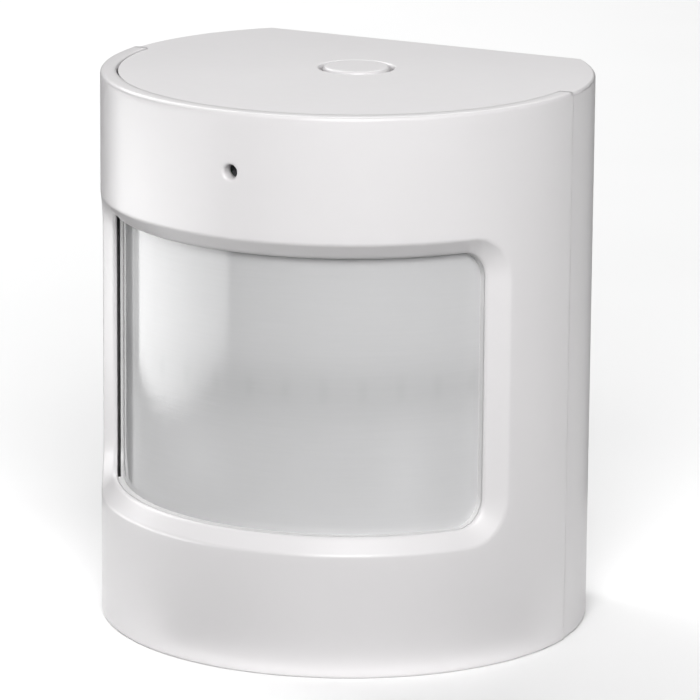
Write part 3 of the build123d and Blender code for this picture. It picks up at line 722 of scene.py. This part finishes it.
CENTRE = Vector((0, AXIS_Y, MID_Z))
LIGHT_DISTANCE = 0.8
LIGHT_HEIGHT = 0.4
LIGHTS = {  # azimuth from the camera, positive to its right, elevation, width, watts
    "back_left": (-135, 35, 0.5, 3.28),
    "back": (180, 40, 0.5, 2.09),
    "front": (0, 30, 0.4, 5.90),
    "front_high": (5, 58, 0.4, 1.64),
    "front_right": (30, 28, 0.4, 0.89),
}
PANEL_AZIMUTH = -100
PANEL_DISTANCE = 0.120  # from the axis
PANEL_SPAN = (-0.052, 0.108)  # its ends, measured towards the camera
PANEL_FOOT = 1 * MM
PANEL_HEIGHT = 45 * MM
PANEL_POWER = 0.044
PANEL_SPREAD = radians(108)
FLOOR_HALF = 3.0
FLOOR_SHADE = (0.90, 0.92)
FLAG_SHADE = 0.03
# standing flag behind the body, which only grazing reflections meet: turns from the camera, radius, height
BACK_FLAG = {"turns": (-232, -120), "radius": 60 * MM, "height": 90 * MM}
# flat flag in front, which only keeps the floor's light off the underside of the window's border
FRONT_FLAG = {"turns": (-46, 50), "radii": (30 * MM, 300 * MM), "height": 1 * MM}
FLAG_STEPS = 48
RAY_KINDS = ("camera", "diffuse", "glossy", "transmission", "shadow")


def heading(azimuth, elevation=0.0):
    """Unit vector from the centre, azimuth in degrees from the camera's side."""
    turn, rise = radians(CAMERA_AZIMUTH + azimuth), radians(elevation)
    return Vector((sin(turn) * cos(rise), -cos(turn) * cos(rise), sin(rise)))


def area_light(name, place, aim, size, power):
    light = bpy.data.lights.new(name, "AREA")
    light.shape = "RECTANGLE"
    light.size, light.size_y = size
    light.energy = power
    obj = bpy.data.objects.new(name, light)
    obj.location = place
    obj.rotation_euler = (aim - place).to_track_quat("-Z", "Y").to_euler()
    bpy.context.scene.collection.objects.link(obj)
    return obj


def boards():
    for name, (azimuth, elevation, width, power) in LIGHTS.items():
        place = CENTRE + heading(azimuth, elevation) * LIGHT_DISTANCE
        area_light(name, place, CENTRE, (width, LIGHT_HEIGHT), power)


def low_panel():
    """Bright board standing on the floor at the left, which the lens mirrors; it lights nothing else."""
    outward = heading(PANEL_AZIMUTH)
    towards_camera = heading(PANEL_AZIMUTH + 90)
    foot = Vector((0, AXIS_Y, 0)) + outward * PANEL_DISTANCE + towards_camera * (sum(PANEL_SPAN) / 2)
    place = foot + Vector((0, 0, PANEL_HEIGHT / 2 + PANEL_FOOT))
    size = (PANEL_SPAN[1] - PANEL_SPAN[0], PANEL_HEIGHT)
    panel = area_light("low_panel", place, place - outward, size, PANEL_POWER)
    panel.data.spread = PANEL_SPREAD
    panel.visible_diffuse = False


def flag(name, edges, seen_by):
    """Dark sheet between two rows of points, clear from behind; only the named kinds of ray meet it."""
    bm = bmesh.new()
    first, second = ([bm.verts.new(point) for point in edge] for edge in edges)
    join_lines(bm, second, first)
    material, tree, shader, at = new_material(name)
    weave = remap(tree, grain(tree, at, 800, 3), FLAG_SHADE * 0.8, FLAG_SHADE)
    grey = material_node(tree, "ShaderNodeCombineColor")
    for socket in grey.inputs:
        tree.links.new(weave, socket)
    tree.links.new(grey.outputs["Color"], shader.inputs["Base Color"])
    shader.inputs["Roughness"].default_value = 1.0
    shader.inputs["Specular IOR Level"].default_value = 0.0
    behind = material_node(tree, "ShaderNodeNewGeometry").outputs["Backfacing"]
    tree.links.new(minus(tree, 1.0, behind), shader.inputs["Alpha"])
    sheet = mesh_object(name, bm, material, outward=False)
    for ray in RAY_KINDS:
        setattr(sheet, f"visible_{ray}", ray in seen_by)


def arc(turns, radius, z):
    axis = Vector((0, AXIS_Y, z))
    step = (turns[1] - turns[0]) / FLAG_STEPS
    return [axis + heading(turns[0] + step * i) * radius for i in range(FLAG_STEPS + 1)]


def flags():
    turns, radius = BACK_FLAG["turns"], BACK_FLAG["radius"]
    flag("back_flag", [arc(turns, radius, z) for z in (0, BACK_FLAG["height"])], ("glossy",))
    turns, z = FRONT_FLAG["turns"], FRONT_FLAG["height"]
    flag("front_flag", [arc(turns, radius, z) for radius in FRONT_FLAG["radii"]], ("diffuse",))


def floor():
    bm = bmesh.new()
    bmesh.ops.create_grid(bm, x_segments=2, y_segments=2, size=FLOOR_HALF)
    material, tree, shader, at = new_material("floor_paper")
    darker, paler = ((tone,) * 3 for tone in FLOOR_SHADE)
    shade = mix_colours(tree, remap(tree, grain(tree, at, 12, 2), 0, 1), darker, paler)
    tree.links.new(shade, shader.inputs["Base Color"])
    shader.inputs["Roughness"].default_value = 0.9
    mesh_object("floor", bm, material)


def black_world():
    """All the light comes from the boards."""
    world = bpy.data.worlds.new("studio")
    world.use_nodes = True
    world.node_tree.nodes["Background"].inputs["Strength"].default_value = 0.0
    bpy.context.scene.world = world


def camera():
    data = bpy.data.cameras.new("camera")
    data.lens = CAMERA_LENS
    data.sensor_width = 36
    data.shift_x, data.shift_y = CAMERA_SHIFT
    data.clip_start = 0.05
    back = heading(0, CAMERA_ELEVATION)
    obj = bpy.data.objects.new("camera", data)
    obj.location = Vector((0, AXIS_Y, CAMERA_AIM_Z)) + back * CAMERA_DISTANCE
    obj.rotation_euler = back.to_track_quat("Z", "Y").to_euler()
    obj.rotation_euler.rotate_axis("Z", CAMERA_ROLL)
    bpy.context.scene.collection.objects.link(obj)
    bpy.context.scene.camera = obj


dress_frame()
front_cover(SLOT_MATERIALS["cover_plastic"])
lens_skin(SLOT_MATERIALS["lens_sheet"])
floor()
black_world()
boards()
low_panel()
flags()
camera()
bpy.context.scene.view_settings.view_transform = "Standard"
